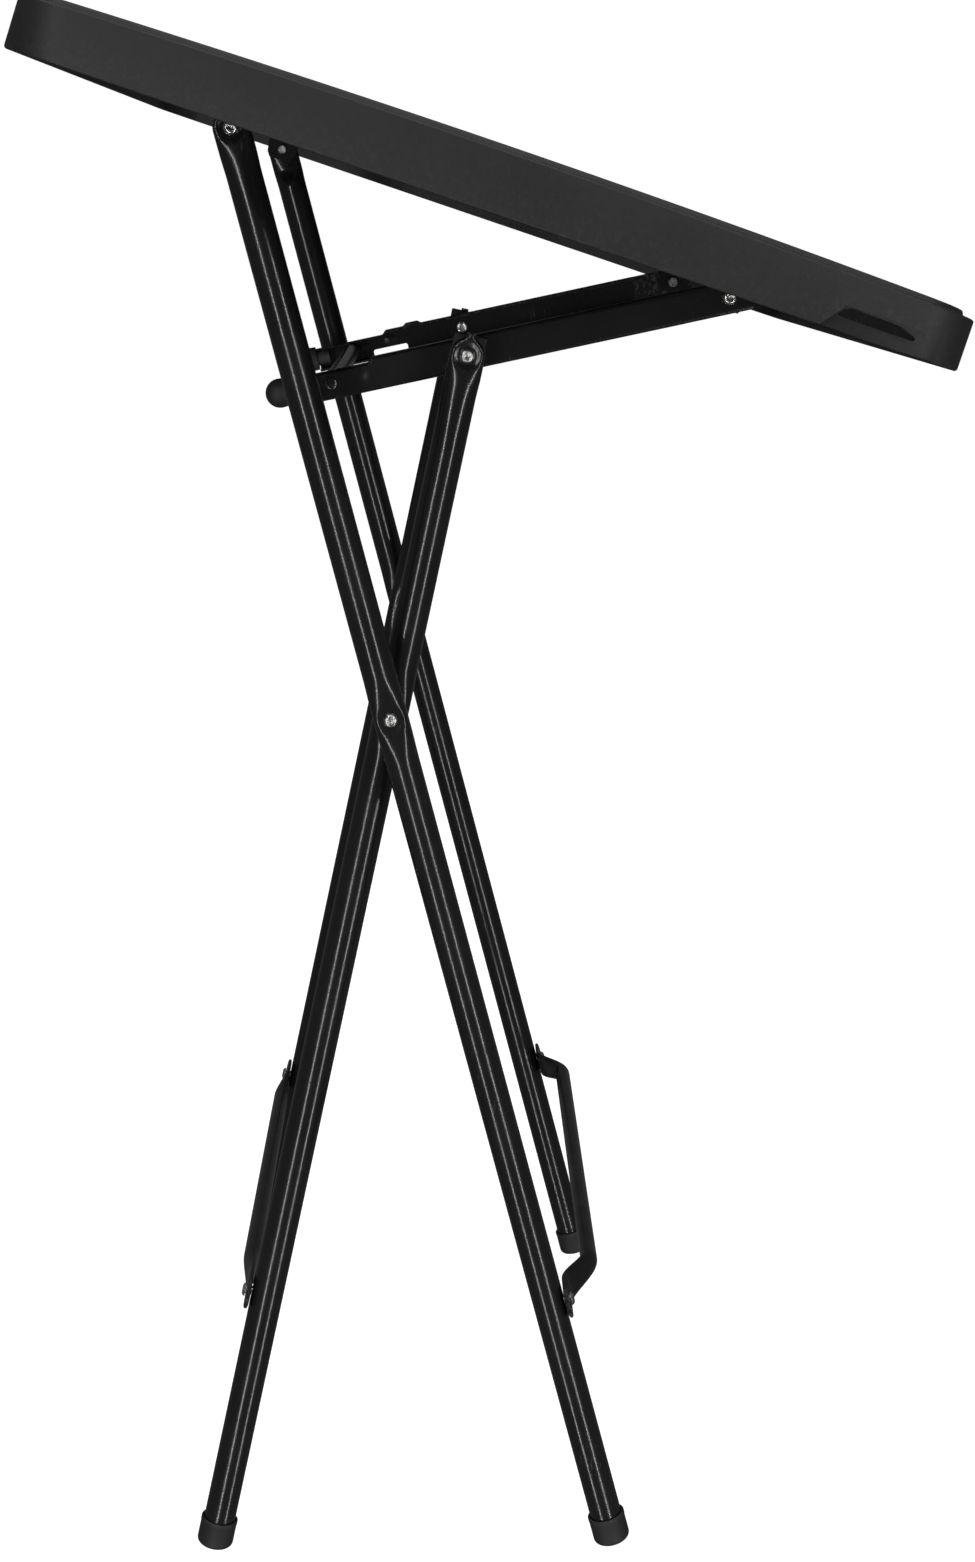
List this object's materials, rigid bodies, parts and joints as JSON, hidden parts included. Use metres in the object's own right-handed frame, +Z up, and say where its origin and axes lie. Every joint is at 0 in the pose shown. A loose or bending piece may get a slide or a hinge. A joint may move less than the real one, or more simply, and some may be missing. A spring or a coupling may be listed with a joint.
{
  "type": "folding table",
  "caption": "Small folding table: rectangular moulded top with a deep edge on two crossing pairs of tube legs, half folded with the top tilted.",
  "frame": {"origin": "on the floor, under the middle of the table's box", "axes": "+Z up, +Y along the top's long side and every pivot, +X towards the low end of the tilted top"},
  "size_m": [0.4424, 0.66, 0.8626],
  "materials": {
    "top_plastic": "fine grained, satin",
    "black_steel": "black powder coat, semi-gloss",
    "cap_plastic": "matte",
    "bright_steel": "bright plated"
  },
  "bodies": {
    "outer_frame": {"crossing_bolt_far": "bright_steel", "crossing_bolt_near": "bright_steel", "crossing_nut_far": "bright_steel", "crossing_nut_near": "bright_steel", "crossing_spacer_far": "cap_plastic", "crossing_spacer_near": "cap_plastic", "outer_brace": "black_steel", "outer_brace_rivet_far": "bright_steel", "outer_brace_rivet_near": "bright_steel", "outer_foot_cap_far": "cap_plastic", "outer_foot_cap_near": "cap_plastic", "outer_leg_far": "black_steel", "outer_leg_near": "black_steel"},
    "inner_frame": {"inner_brace": "black_steel", "inner_brace_rivet_far": "bright_steel", "inner_brace_rivet_near": "bright_steel", "inner_foot_cap_far": "cap_plastic", "inner_foot_cap_near": "cap_plastic", "inner_leg_far": "black_steel", "inner_leg_near": "black_steel", "leg_end_block_far": "cap_plastic", "leg_end_block_near": "cap_plastic", "leg_rivet_far": "bright_steel", "leg_rivet_near": "bright_steel"},
    "top": {"leg_bracket_far": "black_steel", "leg_bracket_near": "black_steel", "leg_screw_far_1": "bright_steel", "leg_screw_far_2": "bright_steel", "leg_screw_near_1": "bright_steel", "leg_screw_near_2": "bright_steel", "rail_bracket_far": "black_steel", "rail_bracket_near": "black_steel", "rail_screw_far_1": "bright_steel", "rail_screw_far_2": "bright_steel", "rail_screw_near_1": "bright_steel", "rail_screw_near_2": "bright_steel", "table_top": "top_plastic", "top_rivet_far": "bright_steel", "top_rivet_near": "bright_steel"},
    "rails": {"cross_bar": "black_steel", "rail_cap_far": "cap_plastic", "rail_cap_near": "cap_plastic", "rail_far": "black_steel", "rail_near": "black_steel", "rail_rivet_far": "bright_steel", "rail_rivet_near": "bright_steel", "rail_stud_far": "bright_steel", "rail_stud_near": "bright_steel"}
  },
  "joints": [
    {"name": "top_fold", "type": "hinge", "parent": "outer_frame", "child": "top", "pos_m": [-0.13005, 0, 0.80334], "axis": [0, 1, 0], "range_deg": [-17.6, 54.8]},
    {"name": "inner_leg_fold", "type": "hinge", "parent": "outer_frame", "child": "inner_frame", "pos_m": [-0.07068, 0, 0.495], "axis": [0, 1, 0], "range_deg": [-25.6, 8.3]},
    {"name": "rail_fold", "type": "hinge", "parent": "top", "child": "rails", "pos_m": [0.12267, 0, 0.70276], "axis": [0, 1, 0], "range_deg": [-9.5, 29.4]}
  ],
  "couplings": [
    {"joint": "inner_leg_fold", "follows": "top_fold", "ratio": -0.466},
    {"joint": "rail_fold", "follows": "top_fold", "ratio": 0.535}
  ]
}
